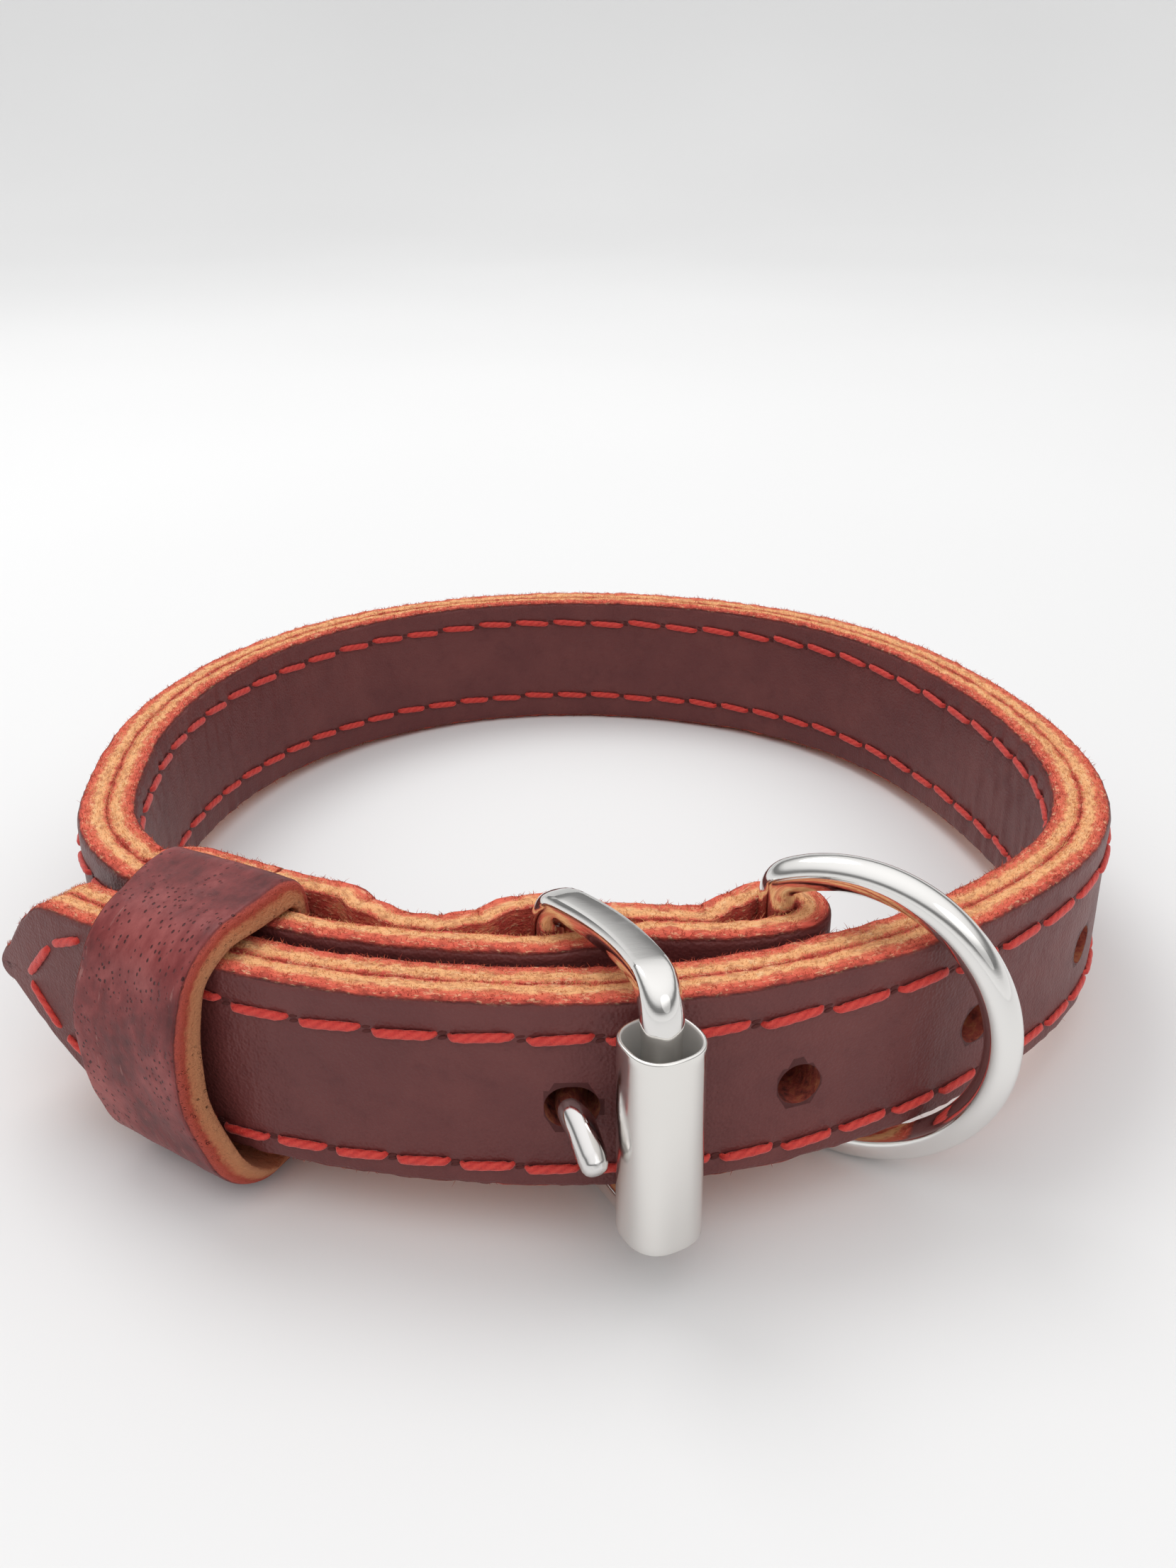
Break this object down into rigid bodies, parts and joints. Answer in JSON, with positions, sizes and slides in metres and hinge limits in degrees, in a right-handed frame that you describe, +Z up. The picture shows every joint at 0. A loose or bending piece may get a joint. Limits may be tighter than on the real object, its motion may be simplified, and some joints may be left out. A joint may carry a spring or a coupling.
{
  "type": "dog collar",
  "caption": "Fastened stitched leather dog collar with a roller buckle, a loose leather keeper and a D-ring for the lead, standing on its edge.",
  "frame": {"origin": "middle of the collar's bounding box, on the floor it stands on", "axes": "+Z up, +X to the right as seen from the buckle, +Y from the buckle to the back of the neck"},
  "size_m": [0.1548, 0.1688, 0.0416],
  "materials": {
    "latigo_outer": "smooth oxblood grain, raw tan edges",
    "latigo_lining": "smooth oxblood grain, raw tan edges",
    "keeper_leather": "mottled red-brown grain with open pores",
    "frame_steel": "polished wire",
    "roller_steel": "polished thin tube",
    "tongue_steel": "polished wire",
    "ring_steel": "polished wire",
    "red_thread": "waxed twisted thread"
  },
  "bodies": {
    "collar": {"strap_outer": "latigo_outer", "strap_lining": "latigo_lining", "keeper": "keeper_leather", "buckle_frame": "frame_steel", "roller": "roller_steel", "tongue": "tongue_steel"},
    "ring": {"d_ring": "ring_steel"}
  },
  "joints": [
    {"name": "ring_swing", "type": "hinge", "parent": "collar", "child": "ring", "pos_m": [0.02335, -0.05469, 0.00708], "axis": [0, 0.0516, 0.9987], "range_deg": [-72, 0]}
  ]
}
